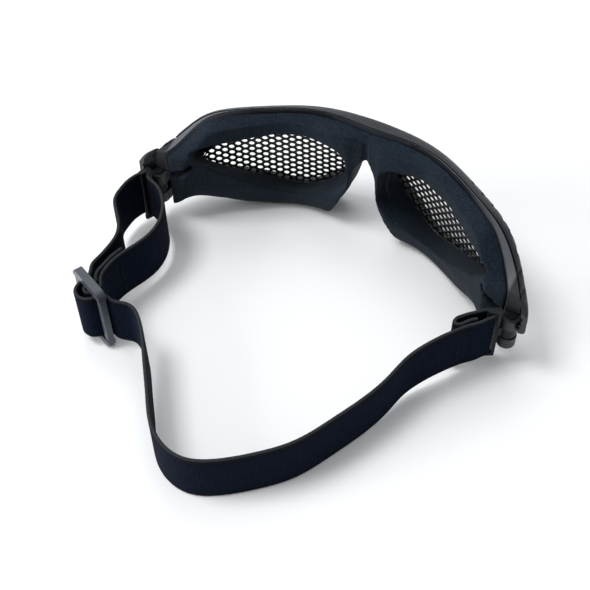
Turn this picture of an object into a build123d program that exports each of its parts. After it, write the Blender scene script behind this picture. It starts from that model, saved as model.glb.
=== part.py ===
from build123d import *
import math
import os

os.makedirs("parts", exist_ok=True)

# Perforated safety goggles standing on their lower edge, with the strap looped behind them.
# Millimetres. +Z up, the lenses face -Y, +X is the wearer's left. While the pieces are made, x = 0 is the
# plane of symmetry, z = 0 the surface that the goggles stand on, and y = 0 lies just behind the bridge.
# At the end everything is moved along y, so that the origin is the middle of the bottom.

# Goggle body
HALF_WIDTH = 83.0
WRAP_DEPTH = 49.5
BRIDGE_FRONT_Y = -16.8
GOGGLE_HEIGHT = 51.5
SECTION_DEPTH = 16.0
SHELL_WALL = 1.9
BROW_DROP = 4.6
GAP = 0.3
STRIP_RISE = 0.9
STRIP_LEAST = 1.0
GROOVE = 1.3
PAD_STEP = 0.8
PAD_ROUND = 1.7
PAD_EASE = 0.4
PAD_LEAST = 0.5
PAD_SKIRT = 1.2
OVERRUN = 12.0

# Front line of the shell seen from above, from the bridge to the temple
FRONT_SHARES = [
    (0.0, 0.0),
    (0.181, 0.018),
    (0.361, 0.097),
    (0.542, 0.263),
    (0.723, 0.457),
    (0.867, 0.646),
    (0.952, 0.83),
    (1.0, 1.0),
]

# Cross sections from the bridge to the temple: place along the front line, degrees by which the section
# turns, then the shares for top edge, bottom edge, chin, end of the shell's lip, seat of the pad, crest of
# the pad, and the upper and lower height of that crest
STATION_SHARES = [
    (0.0, 0.0, 1.0, 0.0, 0.19, 0.59, 0.69, 0.86, 0.935, 0.25),
    (0.065, 2.0, 0.998, -0.003, 0.19, 0.57, 0.665, 0.96, 0.955, 0.235),
    (0.137, 5.0, 0.995, -0.008, 0.19, 0.51, 0.6, 1.01, 0.96, 0.22),
    (0.28, 18.0, 0.985, -0.012, 0.17, 0.41, 0.5, 0.83, 0.945, 0.185),
    (0.432, 28.0, 0.975, -0.004, 0.14, 0.355, 0.445, 0.72, 0.93, 0.195),
    (0.581, 34.0, 0.965, 0.035, 0.11, 0.35, 0.44, 0.8, 0.93, 0.25),
    (0.715, 44.0, 0.9, 0.12, 0.07, 0.27, 0.43, 0.87, 0.89, 0.32),
    (0.827, 60.0, 0.735, 0.235, 0.04, 0.18, 0.42, 0.92, 0.76, 0.38),
    (0.919, 76.0, 0.655, 0.33, 0.02, 0.17, 0.46, 0.94, 0.68, 0.42),
    (1.0, 90.0, 0.6, 0.4, 0.0, 0.165, 0.5, 0.96, 0.63, 0.44),
]

# Profile of the shell's front between its lips: how much of the brow's drop and of the lip's depth each
# point takes, and how much of the inset its depth and its height take
BROW_LEAST_SHARE = 0.3
CHIN_SHARE = 0.18
LIP_SHARES = [
    (1.0, 0.0, 0.0, 1.0),
    (0.5, 0.3, 0.25, 0.95),
    (0.1, 0.75, 0.7, 0.7),
]
BROW_SHARES = (0.05, 0.5, 0.2)
FOOT_SHARES = (0.85, 0.2, 0.3, 0.6, 0.8)

# Nose opening, from its foot upwards, as shares of its half width and its height
NOSE_HALF = 17.5
NOSE_HEIGHT = 37.2
NOSE_SHARES = [(1.0, -0.03), (0.66, 0.27), (0.515, 0.45), (0.39, 0.67), (0.24, 0.87), (0.0, 1.0)]
NOSE_STEP = 1.2

# Small hollows along the upper temple edge of the shell: place along the front line, share of the way from
# the brow up to the lip, and radius
DIMPLE_SINK_SHARE = 0.45
DIMPLE_SHARES = [
    (0.475, 0.3, 1.5),
    (0.54, 0.3, 1.6),
    (0.6, 0.3, 1.6),
    (0.66, 0.3, 1.7),
    (0.715, 0.3, 1.8),
    (0.77, 0.3, 1.9),
    (0.84, 0.45, 2.3),
    (0.91, 0.45, 2.5),
]

# Lenses: thin sheets bent round an axis that leans and rolls
LENS_CENTRE = (37.3, -5.76, 24.5)
LENS_YAW = 24.9
LENS_LEAN = 8.1
LENS_ROLL = 23.4
LENS_RADIUS = 118.7
LENS_THICKNESS = 0.6
LENS_BORDER = 1.7
MESH_PITCH = 3.2
MESH_HOLE = 2.35
LATTICE_TURN = {1: 0.0, -1: 15.0}
WINDOW_HALF = 30.0
OUTLINE_STEPS = 24
WINDOW_SHARES = [
    (-0.97, 0.14),
    (-0.9, -0.12),
    (-0.68, -0.42),
    (-0.4, -0.6),
    (-0.12, -0.6),
    (0.2, -0.5),
    (0.6, -0.37),
    (0.98, -0.25),
    (1.13, -0.1),
    (1.06, 0.08),
    (0.75, 0.32),
    (0.3, 0.49),
    (-0.2, 0.54),
    (-0.65, 0.47),
    (-0.88, 0.33),
]
PAD_SHARES = (0.6, 0.55, 0.3)

# Opening of the recess at the face side, point for point with the window outline
OPENING_DEPTH = 12.0
RECESS_DEPTH = 30.0
OPENING_SHARES = [
    (-0.83, 0.17),
    (-0.77, -0.12),
    (-0.58, -0.34),
    (-0.35, -0.41),
    (-0.1, -0.39),
    (0.2, -0.33),
    (0.55, -0.22),
    (0.88, -0.05),
    (1.12, 0.2),
    (1.15, 0.42),
    (0.93, 0.57),
    (0.4, 0.63),
    (-0.2, 0.64),
    (-0.63, 0.58),
    (-0.81, 0.42),
]

# Ends of the pad and the frame at the temples, and a short slit in each end of the pad
END_Y = 28.2
SLIT_CENTRE = (66.9, 26.3, 25.0)
SLIT_TURN = 56.0
SLIT_LENGTH = 6.4
SLIT_WIDTH = 1.4
SLIT_DEPTH = 5.0

# Clevis at each end of the inner frame, and the pin through it
PIN_X = 76.4
PIN_Y = 29.5
PIN_RADIUS = 1.1
PIN_FIT = 0.06
PIN_HEAD_RADIUS = 1.9
PIN_HEAD = 0.6
EAR_RADIUS = 3.4
EAR_REACH = 5.5
EYE_RADIUS = 3.0
WEB_BACK = 3.0
WEB_OUT = 0.5
LUG_BOTTOM = 9.6
LUG_TOP = 24.0
SLOT_BOTTOM = 14.3
SLOT_TOP = 19.2

# Strap clips: from the pin outwards an eye, a post, the slot for the strap, and a bar
CLIP_PLAY = 0.25
CLIP_START = 3.75
CLIP_POST = 1.3
CLIP_SLOT = 2.1
CLIP_BAR = 1.7
CLIP_THICKNESS = 2.0
CLIP_ARM = 1.3
TONGUE_WIDTH = 2.6
CLIP_HEADING = {1: 70.0, -1: 34.0}

# Strap: width, thickness, and how high its lower edge is held by the clips and by the slider
STRAP_WIDTH = 22.0
STRAP_THICKNESS = 1.5
CLIP_LIFT = 4.4
SLIDER_LIFT = 4.0
LONG_STEP = 5.0
SHORT_STEP = 1.1
ARC_POINTS = 5

# Routes of the strap in plan, each point with the height of the lower edge
RUN_ROUTE = [
    (-62.4, 46.9, 4.4),
    (-55.5, 57.8, 3.2),
    (-52.5, 64.0, 1.8),
    (-50.5, 73.0, 0.6),
    (-46.8, 86.0, 0.12),
    (-42.0, 98.0, 0.0),
    (-35.0, 112.5, 0.0),
    (-26.0, 122.8, 0.0),
    (-15.5, 131.6, 0.0),
    (-8.5, 134.9, 0.0),
    (-1.6, 135.0, 0.0),
    (6.0, 131.9, 0.0),
    (17.5, 120.0, 0.1),
    (27.7, 107.6, 0.7),
    (37.6, 96.6, 2.2),
    (44.0, 93.6, 3.6),
    (50.0, 94.9, 4.0),
]
OUTER_ROUTE = [
    (82.3, 42.2, 4.4),
    (82.1, 46.5, 4.4),
    (81.2, 51.5, 4.3),
    (77.6, 56.4, 4.2),
    (72.3, 61.6, 4.1),
    (68.9, 67.0, 4.0),
    (67.4, 75.1, 4.0),
    (67.3, 80.5, 4.0),
    (67.1, 84.7, 4.0),
]
INNER_ROUTE = [
    (70.5, 38.6, 4.4),
    (66.3, 41.6, 4.4),
    (61.9, 46.8, 4.3),
    (58.8, 53.6, 4.2),
    (57.9, 61.6, 4.1),
    (59.4, 69.0, 4.0),
    (60.4, 72.6, 4.0),
]

# Routes of the strap at the clips, before and after the turn round the bar
LEFT_START_ROUTE = [(82.3, 41.6), (81.9, 39.4)]
LEFT_END_ROUTE = [(75.9, 36.4), (71.1, 38.2)]
RIGHT_TAIL_ROUTE = [(-61.9, 43.6), (-63.6, 40.0), (-65.9, 35.9)]
RIGHT_OUT_ROUTE = [(-68.9, 38.6), (-66.0, 42.0), (-62.9, 46.2)]
LEFT_TURN = (-90.0, -185.0)
RIGHT_TURN = (270.0, 90.0)

# Slider: upright frame with three bars and two slots
SLIDER_X = 60.5
SLIDER_Y = 94.5
SLIDER_TURN = -21.8
SLIDER_LENGTH = 18.4
SLIDER_HEIGHT = 30.0
SLIDER_THICKNESS = 3.2
BAR_THICKNESS = 2.4
END_BAR = 2.6
MIDDLE_BAR = 2.4
SLIDER_SLOT = 23.2
SLIDER_ROUND = 1.0

# Strap at the slider, in the slider's own plan: along its length, across its thickness
BULGE_ROUTE = [
    (-9.4, -3.0),
    (-7.5, -2.75),
    (-5.7, -2.1),
    (-4.8, 0.0),
    (-4.4, 2.3),
    (-2.9, 4.5),
    (0.0, 5.5),
    (2.9, 4.5),
    (4.4, 2.3),
    (4.85, 0.0),
    (5.6, -2.3),
    (7.3, -4.4),
    (9.5, -6.2),
]
INNER_SIDE_ROUTE = [(7.95, -19.7), (7.3, -15.5), (5.2, -9.8), (1.6, -5.2), (-1.3, -3.4)]
TAIL_ROUTE = [(1.6, -2.6), (4.2, -4.9), (6.8, -9.0), (9.2, -15.5), (10.0, -19.4)]

SEWN_TURN = (195.0, -15.0)

HEX_SIDES = 6
HALF = 0.5


def polar(degrees, length):
    """Vector of a given length in plan."""
    angle = math.radians(degrees)
    return Vector(length * math.cos(angle), length * math.sin(angle), 0)


def front_line():
    """Front of the shell in plan, from the bridge to the temple."""
    points = [(HALF_WIDTH * a, BRIDGE_FRONT_Y + WRAP_DEPTH * b) for a, b in FRONT_SHARES]
    return Spline(*points, tangents=[(1, 0), (HALF, 1)])


def station_plane(place, turn):
    """Upright plane of a cross section: its x is the depth towards the face, its y is the height."""
    origin = front_line() @ place
    inward = polar(turn, 1).rotate(Axis.Z, 90)
    return Plane(origin=origin, x_dir=inward, z_dir=inward.cross(Vector(0, 0, 1)))


def loft_half(outlines):
    """Loft of the left half through one closed outline per station."""
    faces = []
    for station, edges in zip(STATION_SHARES, outlines):
        plane = station_plane(station[0], station[1])
        faces.append(Face(Wire([plane.from_local_coords(edge) for edge in edges])))
    return Solid.make_loft([face.outer_wire() for face in faces])


def both_halves(half):
    """The left half joined to its mirror image."""
    return half + half.mirror(Plane.YZ)


def brow_drop(top, bottom):
    """How far the shell's upper edge slopes down towards the front."""
    return BROW_DROP * min(1, top - bottom + BROW_LEAST_SHARE)


def shell_points(station, inset):
    """Points round the front of the shell's cross section, from the upper lip to the lower lip."""
    _, _, top, bottom, chin, lip, _, _, _, _ = station
    z_top = top * GOGGLE_HEIGHT
    z_bottom = bottom * GOGGLE_HEIGHT
    d_lip = lip * SECTION_DEPTH
    d_chin = -chin * SECTION_DEPTH
    drop = brow_drop(top, bottom)
    z_brow = z_top - drop
    low = z_bottom + CHIN_SHARE * (z_brow - z_bottom)
    points = [(a * d_lip + c * inset, z_top - b * drop - d * inset) for a, b, c, d in LIP_SHARES]
    forward, under, raised = BROW_SHARES
    points.append((forward * d_chin + inset, z_brow - under * drop - raised * inset))
    points.append((HALF * d_chin + inset, HALF * (z_brow + z_bottom)))
    points.append((d_chin + inset, low + FOOT_SHARES[2] * inset))
    chin, lip_part, rise, depth_inset, height_inset = FOOT_SHARES
    foot = chin * d_chin + lip_part * d_lip + depth_inset * inset
    points.append((foot, z_bottom + rise * (low - z_bottom) + height_inset * inset))
    points.append((HALF * d_lip, z_bottom + inset))
    points.append((d_lip, z_bottom + inset))
    return points


def shell_outline(station, inset, back):
    """Closed cross section inside the shell's outer skin, ending at the given depth."""
    points = shell_points(station, inset)
    first = points[0]
    last = points[-1]
    edges = [Spline(*points)]
    if back > first[0]:
        upper = (back, first[1])
        lower = (back, last[1])
        edges.append(Line(last, lower))
        edges.append(Line(lower, upper))
        edges.append(Line(upper, first))
    else:
        edges.append(Line(last, first))
    return edges


def frame_outline(station, reach):
    """Cross section of the inner frame, with its glossy strip, to a reach past the seat of the pad."""
    _, _, top, _, _, lip, seat, _, _, _ = station
    points = shell_points(station, SHELL_WALL + GAP)
    near = min(lip * SECTION_DEPTH + GROOVE * (1 - seat), seat * SECTION_DEPTH - STRIP_LEAST)
    far = seat * SECTION_DEPTH + reach
    z_top = top * GOGGLE_HEIGHT + STRIP_RISE * HALF
    corners = [
        points[-1],
        (far, points[-1][1]),
        (far, z_top),
        (near, z_top - STRIP_RISE * HALF),
        (near, points[0][1]),
        points[0],
    ]
    return [Spline(*points)] + [Line(a, b) for a, b in zip(corners, corners[1:])]


def pad_outline(station):
    """Cross section of the soft pad before its recesses are cut."""
    _, _, top, bottom, _, _, seat, crest, upper, lower = station
    d_seat = seat * SECTION_DEPTH
    d_crest = crest * SECTION_DEPTH
    z_top = top * GOGGLE_HEIGHT - PAD_STEP
    z_bottom = max(bottom * GOGGLE_HEIGHT + PAD_STEP, PAD_LEAST)
    z_upper = min(upper * GOGGLE_HEIGHT, z_top - PAD_LEAST)
    z_lower = lower * GOGGLE_HEIGHT
    reach = d_crest - d_seat
    high = [
        (d_seat, z_top),
        (d_seat + PAD_SHARES[0] * reach, HALF * (z_top + z_upper) + PAD_EASE),
        (d_crest - PAD_EASE, z_upper - PAD_EASE),
        (d_crest, z_upper - PAD_ROUND),
    ]
    low = [
        (d_crest, z_lower + PAD_ROUND),
        (d_crest - PAD_EASE, z_lower),
        (d_seat + PAD_SHARES[1] * reach, z_bottom + PAD_SHARES[2] * (z_lower - z_bottom)),
        (d_seat, z_bottom),
    ]
    return [
        Spline(*high, tangents=[(1, 0), (0, -1)]),
        Line(high[-1], low[0]),
        Spline(*low, tangents=[(0, -1), (-1, -PAD_SHARES[2])]),
        Line(low[-1], high[0]),
    ]


def lens_plane(roll=0):
    """Plane that touches the left lens at its middle; x to the temple, y up, z out of the front."""
    along = polar(LENS_YAW, 1)
    inward = along.rotate(Axis.Z, 90)
    lean = math.radians(LENS_LEAN)
    outward = inward * -math.cos(lean) + Vector(0, 0, 1) * math.sin(lean)
    turn = math.radians(roll)
    across = along * math.cos(turn) - outward.cross(along) * math.sin(turn)
    return Plane(origin=LENS_CENTRE, x_dir=across, z_dir=outward)


def lens_cylinder(offset):
    """Solid bounded by the left lens's middle surface, moved outwards by the offset."""
    plane = lens_plane(LENS_ROLL)
    axis_origin = plane.origin - plane.z_dir * LENS_RADIUS
    base = Plane(origin=axis_origin - plane.y_dir * LENS_RADIUS * HALF, x_dir=plane.x_dir, z_dir=plane.y_dir)
    return base * Cylinder(LENS_RADIUS + offset, LENS_RADIUS, align=(Align.CENTER, Align.CENTER, Align.MIN))


def window_face(margin):
    """Window outline of the left lens in its plane, moved outwards by a margin."""
    points = [(WINDOW_HALF * a, WINDOW_HALF * b) for a, b in WINDOW_SHARES]
    line = Spline(*points, periodic=True)
    if margin != 0:
        moved = []
        for i in range(OUTLINE_STEPS):
            ahead = line.tangent_at(i / OUTLINE_STEPS)
            moved.append(line.position_at(i / OUTLINE_STEPS) + Vector(ahead.Y, -ahead.X, 0) * margin)
        line = Spline(*moved, periodic=True)
    return Face(Wire([line]))


def window_prism(margin, forward, backward):
    """Straight prism of the window outline through the left lens."""
    placed = lens_plane().offset(-backward) * window_face(margin)
    return extrude(placed, forward + backward, dir=lens_plane().z_dir)


def recess(margin):
    """Hollow from the left lens to the wider opening at the eye."""
    growth = RECESS_DEPTH / OPENING_DEPTH
    far = []
    for (a, b), (c, d) in zip(WINDOW_SHARES, OPENING_SHARES):
        far.append((WINDOW_HALF * (a + (c - a) * growth), WINDOW_HALF * (b + (d - b) * growth)))
    end = Face(Wire([Spline(*far, periodic=True)]))
    wires = [lens_plane() * window_face(margin), lens_plane().offset(-RECESS_DEPTH) * end]
    return Solid.make_loft([face.outer_wire() for face in wires], ruled=True)


def behind_end():
    """Room behind the ends of the pad and the frame."""
    return Pos(0, END_Y, 0) * Box(4 * HALF_WIDTH, OVERRUN, 4 * GOGGLE_HEIGHT, align=(Align.CENTER, Align.MIN, Align.CENTER))


def nose_prism(step):
    """Arch for the nose, cut from front to back."""
    right = [((NOSE_HALF + step) * a, (NOSE_HEIGHT + step) * b) for a, b in NOSE_SHARES]
    left = [(-x, z) for x, z in reversed(right[:-1])]
    arch = Spline(*right, *left)
    sketch = Plane.XZ * Face(Wire([arch, Line(left[-1], right[0])]))
    return extrude(sketch, 4 * OVERRUN, both=True)


def above_floor(solid):
    """The part of a solid above the surface that it stands on."""
    room = Box(4 * HALF_WIDTH, 4 * HALF_WIDTH, 2 * GOGGLE_HEIGHT, align=(Align.CENTER, Align.CENTER, Align.MIN))
    return solid & room


def at_place(column, place):
    """Value of a station column between two stations."""
    for near, far in zip(STATION_SHARES, STATION_SHARES[1:]):
        if place <= far[0]:
            part = (place - near[0]) / (far[0] - near[0])
            return near[column] + part * (far[column] - near[column])


def dimple_centre(place, share, radius):
    """Middle of a hollow's ball, just outside the slope between the brow and the lip."""
    top = at_place(2, place)
    drop = brow_drop(top, at_place(3, place))
    lip = at_place(5, place) * SECTION_DEPTH
    slope = Vector(-drop, lip).normalized() * radius * DIMPLE_SINK_SHARE
    plane = station_plane(place, at_place(1, place))
    height = top * GOGGLE_HEIGHT - (1 - share) * drop
    return plane.from_local_coords((share * lip + slope.X, height + slope.Y, 0))


def shell_wall():
    """Left half of the shell's bent wall, before its cuts."""
    outer = loft_half([shell_outline(s, 0, 0) for s in STATION_SHARES])
    inner = loft_half([shell_outline(s, SHELL_WALL, SECTION_DEPTH + OVERRUN) for s in STATION_SHARES])
    return outer - inner


def make_shell():
    """Outer shell: brow, front wall round both lenses, and the temples."""
    half = shell_wall()
    seat = window_prism(LENS_BORDER + GAP, OVERRUN, OVERRUN) & lens_cylinder(LENS_THICKNESS * HALF + GAP)
    half = half - seat - window_prism(0, OVERRUN, OVERRUN)
    for place, share, radius in DIMPLE_SHARES:
        half = half - Pos(*dimple_centre(place, share, radius)) * Sphere(radius)
    return half


def behind_lens():
    """Everything behind the left lens, clear of it."""
    return lens_cylinder(-LENS_THICKNESS * HALF - GAP)


def make_frame():
    """Inner frame: carrier behind the lenses with a glossy strip along its edge."""
    half = loft_half([frame_outline(s, -GAP) for s in STATION_SHARES])
    front = window_prism(LENS_BORDER + GAP, OVERRUN, OVERRUN)
    return half.cut(front - behind_lens(), recess(PAD_SKIRT + GAP), behind_end(), shell_wall())


def make_clevis():
    """Left clevis: two ears with a web in front, bored for the pin."""
    tall = LUG_TOP - LUG_BOTTOM
    low = (Align.CENTER, Align.CENTER, Align.MIN)
    ears = Cylinder(EAR_RADIUS, tall, align=low)
    ears += Pos(WEB_OUT, 0, 0) * Box(EAR_RADIUS + WEB_OUT, EAR_REACH, tall, align=(Align.MAX, Align.MAX, Align.MIN))
    behind = (Align.CENTER, Align.MIN, Align.MIN)
    slot_room = Box(4 * EAR_RADIUS, WEB_BACK + 2 * EAR_RADIUS, SLOT_TOP - SLOT_BOTTOM, align=behind)
    ears -= Pos(0, -WEB_BACK, SLOT_BOTTOM - LUG_BOTTOM) * slot_room
    return Pos(PIN_X, PIN_Y, LUG_BOTTOM) * ears


def make_pin(side):
    """Hinge pin with a flat head at each end."""
    low = (Align.CENTER, Align.CENTER, Align.MIN)
    tall = LUG_TOP - LUG_BOTTOM
    pin = Cylinder(PIN_RADIUS, tall + PIN_HEAD, align=low)
    pin += Pos(0, 0, tall) * Cylinder(PIN_HEAD_RADIUS, PIN_HEAD, align=low)
    pin += Pos(0, 0, -PIN_HEAD) * Cylinder(PIN_HEAD_RADIUS, PIN_HEAD, align=low)
    return Pos(side * PIN_X, PIN_Y, LUG_BOTTOM) * pin


def make_pad():
    """Soft pad all round both eyes, with a skirt that lines the frame down to the lens."""
    half = loft_half([pad_outline(s) for s in STATION_SHARES])
    skirt = loft_half([frame_outline(s, GAP) for s in STATION_SHARES]) & recess(PAD_SKIRT) & behind_lens()
    slit = Pos(*SLIT_CENTRE) * Rot(0, 0, SLIT_TURN) * Box(SLIT_LENGTH, SLIT_DEPTH, SLIT_WIDTH)
    return (half + skirt).cut(recess(0), behind_end(), slit)


def make_lens(side):
    """Perforated sheet of one eye."""
    sheet = lens_cylinder(LENS_THICKNESS * HALF) - lens_cylinder(-LENS_THICKNESS * HALF)
    sheet = sheet & window_prism(LENS_BORDER, OVERRUN, OVERRUN)
    plane = lens_plane(LENS_ROLL)
    turn = math.radians(LATTICE_TURN[side] + LENS_ROLL)
    row = MESH_PITCH * math.sqrt(3) * HALF
    reach = math.ceil(2 * WINDOW_HALF / MESH_PITCH)
    limit = window_face(-MESH_HOLE * HALF)
    holes = []
    for i in range(-reach, reach + 1):
        for j in range(-reach, reach + 1):
            u = i * row
            v = (j + HALF * (i % 2)) * MESH_PITCH
            a = u * math.cos(turn) - v * math.sin(turn)
            b = u * math.sin(turn) + v * math.cos(turn)
            spot = plane.from_local_coords((LENS_RADIUS * math.sin(a / LENS_RADIUS), b, 0))
            flat = lens_plane().to_local_coords(spot)
            flat = Vector(flat.X, flat.Y, 0)
            if flat.length < 2 * WINDOW_HALF and limit.is_inside(flat):
                holes.append(Pos(flat.X, flat.Y) * RegularPolygon(MESH_HOLE * HALF, HEX_SIDES))
    base = lens_plane().offset(-OVERRUN)
    tools = [Solid.extrude(base * hole.face(), base.z_dir * 2 * OVERRUN) for hole in holes]
    sheet = sheet.cut(*tools)
    return sheet if side > 0 else sheet.mirror(Plane.YZ)


def clip_frame(side):
    """Plane of a strap clip: its x points from the pin to the bar."""
    heading = CLIP_HEADING[side]
    return Plane(origin=(side * PIN_X, PIN_Y, 0), x_dir=polar(heading, 1), z_dir=(0, 0, 1))


def bar_distance():
    """Distance from the pin to the middle of the clip's bar."""
    return CLIP_START + CLIP_POST + CLIP_SLOT + HALF * CLIP_BAR


def make_clip(side):
    """Strap clip: eye on the pin, post, two arms and the bar for the strap."""
    low = (Align.CENTER, Align.CENTER, Align.MIN)
    ahead = (Align.MIN, Align.CENTER, Align.MIN)
    bottom = CLIP_LIFT - GAP - CLIP_ARM
    top = CLIP_LIFT + STRAP_WIDTH + GAP + CLIP_ARM
    tongue = SLOT_TOP - SLOT_BOTTOM - 2 * CLIP_PLAY
    distance = bar_distance()
    solid = Pos(0, 0, SLOT_BOTTOM + CLIP_PLAY) * Cylinder(EYE_RADIUS, tongue, align=low)
    solid += Pos(0, 0, SLOT_BOTTOM + CLIP_PLAY) * Box(CLIP_START + CLIP_POST * HALF, TONGUE_WIDTH, tongue, align=ahead)
    solid += Pos(CLIP_START, 0, bottom) * Box(CLIP_POST, CLIP_THICKNESS, top - bottom, align=ahead)
    arm = Box(distance - CLIP_START, CLIP_THICKNESS, CLIP_ARM, align=ahead)
    arm += Pos(distance - CLIP_START, 0, 0) * Cylinder(CLIP_THICKNESS * HALF, CLIP_ARM, align=low)
    for height in (bottom, top - CLIP_ARM):
        solid += Pos(CLIP_START, 0, height) * arm
    solid += Pos(distance, 0, bottom) * Cylinder(CLIP_BAR * HALF, top - bottom, align=low)
    solid -= Cylinder(PIN_RADIUS + PIN_FIT, 2 * top, align=low)
    return clip_frame(side) * solid


def strap_piece(route, step):
    """Webbing standing on edge along a route whose points carry the height of the lower edge."""
    line = Spline(*route)
    count = math.ceil(line.length / step)
    sections = []
    for i in range(count + 1):
        share = i / count
        spot = line.position_at(share)
        ahead = line.tangent_at(share)
        ahead = Vector(ahead.X, ahead.Y, 0).normalized()
        across = ahead.rotate(Axis.Z, 90)
        plane = Plane(origin=spot + Vector(0, 0, HALF * STRAP_WIDTH), x_dir=across, z_dir=ahead)
        sections.append((plane * Rectangle(STRAP_THICKNESS, STRAP_WIDTH)).face().outer_wire())
    return Solid.make_loft(sections)


def level_strap(route, lift):
    """Webbing standing on edge along a level route, as an upright profile."""
    line = Spline(*route)
    count = math.ceil(line.length / SHORT_STEP)
    left = []
    right = []
    for i in range(count + 1):
        spot = line.position_at(i / count)
        across = line.tangent_at(i / count).rotate(Axis.Z, 90) * STRAP_THICKNESS * HALF
        left.append(spot + across)
        right.append(spot - across)
    edges = [Spline(*left), Line(left[-1], right[-1]), Spline(*right[::-1]), Line(right[0], left[0])]
    return Pos(0, 0, lift) * extrude(Face(Wire(edges)), STRAP_WIDTH, dir=(0, 0, 1))


def wrap_arc(centre, radius, start, end):
    """Points in plan round a bar, from one heading to another."""
    points = []
    for i in range(ARC_POINTS):
        spot = centre + polar(start + (end - start) * i / (ARC_POINTS - 1), radius)
        points.append((spot.X, spot.Y))
    return points


def clip_turn(side, turn):
    """Points of the strap's turn round the bar of a clip."""
    centre = clip_frame(side).from_local_coords((bar_distance(), 0, 0))
    radius = CLIP_BAR * HALF + GAP + STRAP_THICKNESS * HALF
    heading = CLIP_HEADING[side]
    return wrap_arc(centre, radius, heading + turn[0], heading + turn[1])


def make_left_loop():
    """Strap round the bar of the left clip."""
    return level_strap(LEFT_START_ROUTE + clip_turn(1, LEFT_TURN) + LEFT_END_ROUTE, CLIP_LIFT)


def make_right_end():
    """Strap end folded round the bar of the right clip, with its sewn tail."""
    return level_strap(RIGHT_TAIL_ROUTE + clip_turn(-1, RIGHT_TURN) + RIGHT_OUT_ROUTE, CLIP_LIFT)


def slider_plane():
    """Plane of the slider in plan, at its foot."""
    return Plane(origin=(SLIDER_X, SLIDER_Y, 0), x_dir=polar(SLIDER_TURN, 1), z_dir=(0, 0, 1))


def make_bulge():
    """Strap woven over the middle bar of the slider."""
    return slider_plane() * level_strap(BULGE_ROUTE, SLIDER_LIFT)


def make_sewn_end():
    """Strap end folded round the middle bar, with its sewn tail."""
    radius = MIDDLE_BAR * HALF + GAP + STRAP_THICKNESS * HALF
    turn = wrap_arc(Vector(0, 0, 0), radius, SEWN_TURN[0], SEWN_TURN[1])
    return slider_plane() * level_strap(INNER_SIDE_ROUTE + turn + TAIL_ROUTE, SLIDER_LIFT)


def make_slider():
    """Upright slider with two slots."""
    low = (Align.CENTER, Align.CENTER, Align.MIN)
    body = Box(SLIDER_LENGTH, SLIDER_THICKNESS, SLIDER_HEIGHT, align=low)
    body = fillet(body.edges().filter_by(Axis.Y), 3 * SLIDER_ROUND)
    slot = HALF * (SLIDER_LENGTH - MIDDLE_BAR) - END_BAR
    rest = HALF * (SLIDER_HEIGHT - SLIDER_SLOT)
    body -= Pos(0, 0, rest) * Box(2 * slot + MIDDLE_BAR, 2 * SLIDER_THICKNESS, SLIDER_SLOT, align=low)
    thin = Box(SLIDER_LENGTH, SLIDER_THICKNESS, SLIDER_SLOT, align=low)
    for side in (-1, 1):
        body -= Pos(0, side * HALF * (SLIDER_THICKNESS + BAR_THICKNESS), rest) * thin
    body += Cylinder(MIDDLE_BAR * HALF, SLIDER_HEIGHT, align=low)
    return slider_plane() * body


def build():
    """All nodes by name, still in the frame of the symmetry plane."""
    bore = Pos(PIN_X, PIN_Y, 0) * Cylinder(PIN_RADIUS + PIN_FIT, 4 * GOGGLE_HEIGHT)
    clevis = make_clevis()
    low = (Align.CENTER, Align.CENTER, Align.MIN)
    hinge_room = Pos(PIN_X, PIN_Y, 0) * Cylinder(EAR_RADIUS + GAP, LUG_TOP + PIN_HEAD + GAP, align=low)
    web_room = Pos(PIN_X + WEB_OUT + GAP, PIN_Y, 0) * Box(
        EAR_RADIUS + WEB_OUT + 2 * GAP, EAR_REACH + GAP, LUG_TOP + GAP, align=(Align.MAX, Align.MAX, Align.MIN)
    )
    shell = above_floor(both_halves(make_shell() - hinge_room - web_room) - nose_prism(NOSE_STEP))
    frame = above_floor(both_halves(make_frame() - hinge_room + clevis - bore) - nose_prism(NOSE_STEP * HALF))
    pad = above_floor(both_halves(make_pad()) - nose_prism(0))
    return {
        "outer_shell": shell,
        "inner_frame": frame,
        "face_pad": pad,
        "mesh_lens_left": make_lens(1),
        "mesh_lens_right": make_lens(-1),
        "hinge_pin_left": make_pin(1),
        "hinge_pin_right": make_pin(-1),
        "strap_clip_left": make_clip(1),
        "strap_clip_right": make_clip(-1),
        "strap_loop_left": make_left_loop(),
        "strap_end_right": make_right_end(),
        "strap_outer": strap_piece(OUTER_ROUTE, LONG_STEP),
        "strap_inner": strap_piece(INNER_ROUTE, LONG_STEP),
        "strap_run": strap_piece(RUN_ROUTE, LONG_STEP),
        "strap_slider_wrap": make_bulge(),
        "strap_sewn_end": make_sewn_end(),
        "slider_buckle": make_slider(),
    }


def main():
    """Writes every node, moved so that the origin is the middle of the bottom."""
    nodes = build()
    boxes = [solid.bounding_box() for solid in nodes.values()]
    front = min(box.min.Y for box in boxes)
    back = max(box.max.Y for box in boxes)
    for name, solid in nodes.items():
        export_step(Pos(0, -HALF * (front + back), 0) * solid, f"parts/{name}.step")


main()
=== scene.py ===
import math

import bmesh
import bpy
import numpy as np
from mathutils import Matrix, Vector
from mathutils.geometry import delaunay_2d_cdt


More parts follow.
